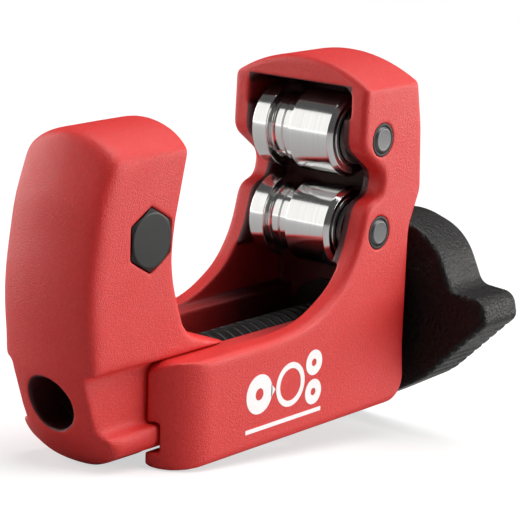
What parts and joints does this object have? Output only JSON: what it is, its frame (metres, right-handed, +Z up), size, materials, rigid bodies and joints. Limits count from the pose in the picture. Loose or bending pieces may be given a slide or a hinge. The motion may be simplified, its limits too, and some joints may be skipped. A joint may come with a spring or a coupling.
{
  "type": "tube cutter",
  "caption": "Compact screw-feed cutter for copper tube: cast C-frame with two grooved rollers, sliding arm with cutting wheel, and an S-shaped thumb knob.",
  "frame": {"origin": "on the base's flat underside, on the centre plane, straight below the roller axes", "axes": "+X from the sliding arm towards the knob, along the feed screw; +Y across the tool, along the roller axes; +Z up from the underside"},
  "size_m": [0.0821, 0.0512, 0.0613],
  "materials": {
    "red_paint": "fine-textured powder coat on a zinc die casting",
    "polished_chrome": "polished, turned",
    "ground_steel": "ground",
    "tool_steel": "ground and hardened",
    "black_steel": "black oxide on steel",
    "bronze": "sintered bronze",
    "black_plastic": "grained moulding"
  },
  "bodies": {
    "frame": {"frame": "red_paint", "screw_bush": "black_steel", "top_roller_pin": "ground_steel", "bottom_roller_pin": "ground_steel", "pin_rings": "black_steel", "roller_washers": "ground_steel"},
    "arm": {"arm": "red_paint", "feed_nut": "bronze", "wheel_axle": "black_steel", "axle_nut": "black_steel", "wheel_washers": "ground_steel"},
    "cutter_wheel": {"cutter_wheel": "tool_steel"},
    "top_roller": {"top_roller": "polished_chrome", "top_roller_bush": "bronze"},
    "bottom_roller": {"bottom_roller": "polished_chrome", "bottom_roller_bush": "bronze"},
    "knob": {"feed_screw": "black_steel", "thrust_washer": "ground_steel", "knob": "black_plastic", "knob_insert": "ground_steel"}
  },
  "joints": [
    {"name": "knob_turn", "type": "hinge", "parent": "frame", "child": "knob", "pos_m": [0, 0, 0.0108], "axis": [-1, 0, 0], "range_deg": [0, 5760]},
    {"name": "arm_slide", "type": "slide", "parent": "frame", "child": "arm", "axis": [1, 0, 0], "range_m": [0, 0.032]},
    {"name": "wheel_spin", "type": "hinge", "parent": "arm", "child": "cutter_wheel", "pos_m": [-0.04775, 0, 0.0337], "axis": [0, 1, 0], "continuous": true},
    {"name": "top_roller_spin", "type": "hinge", "parent": "frame", "child": "top_roller", "pos_m": [0, 0, 0.0426], "axis": [0, 1, 0], "continuous": true},
    {"name": "bottom_roller_spin", "type": "hinge", "parent": "frame", "child": "bottom_roller", "pos_m": [0, 0, 0.0282], "axis": [0, 1, 0], "continuous": true}
  ],
  "couplings": [
    {"joint": "knob_turn", "follows": "arm_slide", "rad_per_m": 3141.6}
  ]
}
